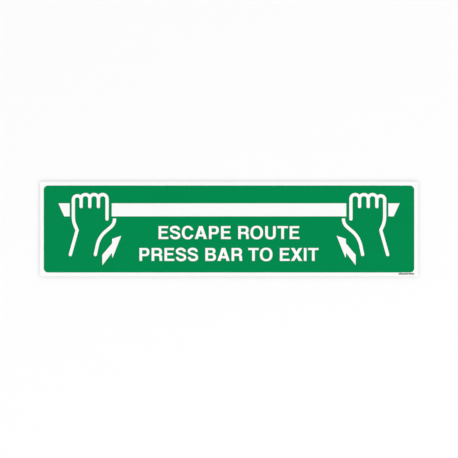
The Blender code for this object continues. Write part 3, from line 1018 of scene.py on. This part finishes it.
door_plane = cad_high.y
tape_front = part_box("rear_skin")[1].y
rear_skin_front = front_of("rear_skin")
core_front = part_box("front_skin")[1].y
front_skin_front = front_of("front_skin")
green_front = front_of("green_field")
white_front = front_of("bar_middle")
planes = (tape_front, rear_skin_front, core_front, front_skin_front, green_front, white_front)
depths = " ".join(f"{1000 * (door_plane - plane):.2f}" for plane in planes)
print("planes in mm from the door:", depths)

# %% [markdown]
# ## Foam tape
#
# Foam squeezed between two flat faces bulges in the middle of its thickness, and its
# slit sides are never quite straight. The side's inset is a parabola in its thickness,
# bulge x (2t - 1)^2, plus an uneven wave along it.

# %% Stick on the tape
BULGE = 0.00045
SLIT_WAVE = 0.00012
SLIT_WAVES = 30
FOAM_STEP = 0.0012
FOAM_ROWS = 9
FACE_RIM = 0.0004

share = np.linspace(0, 1, FOAM_ROWS)
bulged = BULGE * (2 * share - 1) ** 2
depth = door_plane + (tape_front - door_plane) * share
section = np.stack([bulged, depth], axis=1)
section = np.vstack([(BULGE + FACE_RIM, door_plane), section, (BULGE + FACE_RIM, tape_front)])
for seed, side in enumerate(("left", "middle", "right")):
    strip = even_steps(front_outlines(f"foam_tape_{side}")[0], FOAM_STEP)
    wave = SLIT_WAVE * (1 + ripple(laps(strip), SLIT_WAVES, seed)) / 2
    finishes = (foam_face, foam_side, foam_face)
    made = slab(f"stuck_foam_tape_{side}", [strip], section, finishes, (1, FOAM_ROWS), wave)
    stands_for(made, f"foam_tape_{side}")
print(len(made.data.polygons), "faces to a strip")

# %% [markdown]
# ## The panel
#
# The two sheets were sheared, which rolls one edge of the cut over and leaves the other
# crisp. The front sheet's rolled edge is at the front, and still coated. The core is
# softer: the blade tears it back by less than a tenth of a millimetre, and its edge
# wavers with the feed of the saw.

# %% Build the panel
ROLLED_EDGE = 0.00012
FLAT_RIM = 0.00004
CORE_RECESS = 0.00010
SAW_WAVE = 0.00005
SAW_WAVES = 420
SAW_SEED = 9
SAW_SLANT = 0.0004
SAW_STEP = 0.0005


def rounded_section(back, front, shoulder, steps=5):
    """A straight side, then a quarter circle onto the front, then a narrow flat rim."""
    angle = np.linspace(0, pi / 2, steps + 1)
    curve_inset = shoulder * (1 - np.cos(angle))
    curve_depth = front + shoulder * (1 - np.sin(angle))
    inset = np.concatenate([[FLAT_RIM, 0], curve_inset, [shoulder + FLAT_RIM]])
    depth = np.concatenate([[back, back], curve_depth, [front]])
    return np.stack([inset, depth], axis=1)


board = [smooth_outline(outline) for outline in front_outlines("front_skin")]
section = rounded_section(core_front, front_skin_front, ROLLED_EDGE)
made = slab(
    "sheared_front_skin", board, section, (mill_sheet, sheared_edge, coil_coating), (1, 2)
)
stands_for(made, "front_skin")

section = rounded_section(rear_skin_front, tape_front, -ROLLED_EDGE)[::-1]
section[:, 0] = np.abs(section[:, 0])
made = slab(
    "sheared_rear_skin", board, section, (mill_sheet, sheared_edge, mill_sheet), (1, None)
)
stands_for(made, "rear_skin")

share = np.array([0, 0, 0.02, 0.25, 0.5, 0.75, 0.98, 1, 1])
recess = CORE_RECESS * np.array([2, 0.2, 0.8, 1, 0.9, 1, 0.8, 0.2, 2])
section = np.stack([recess, rear_skin_front + (core_front - rear_skin_front) * share], axis=1)
sawn = [even_steps(outline, SAW_STEP) for outline in board]
lap = laps(sawn[0])
shifts = SAW_SLANT * share
wave = np.stack([ripple((lap + shift) % 1, SAW_WAVES, SAW_SEED) for shift in shifts])
wave *= SAW_WAVE * np.sin(pi * share)[:, None]
made = slab("sawn_core", sawn, section, (sawn_plastic,) * 3, (0, None), wave)
stands_for(made, "core")
print(len(made.data.polygons), "faces in the core")

# %% [markdown]
# ## Cut film
#
# Every film piece has the same edge: straight down from the knife, with its upper edge
# drawn over by a tenth of a millimetre. Vinyl also draws back from the cut as it ages,
# by about as much again. The green sheet comes first, then the pictogram and the
# letters on it, one piece to each solid, with the solid's own outline smoothed.

# %% Cut the film
DRAWN_EDGE = 0.00008
DRAWN_BACK = 0.00013

layers = {"green_field": (front_skin_front, green_front, green_film, "green_film")}
for node_name in frame["nodes"]:
    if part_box(node_name)[0].y < green_front - DRAWN_EDGE:
        layers[node_name] = (green_front, white_front, white_film, "white_film")
for node_name, (back, front, film, slot) in layers.items():
    outlines = [smooth_outline(outline) for outline in front_outlines(node_name)]
    section = rounded_section(back, front, DRAWN_EDGE)
    section[:, 0] += DRAWN_BACK if film == white_film else 0.0
    made = slab(f"cut_{node_name}", outlines, section, (film,) * 3)
    stands_for(made, node_name)
faces = sum(len(piece.data.polygons) for piece in pieces.values())
print(len(pieces), "pieces,", faces, "faces")
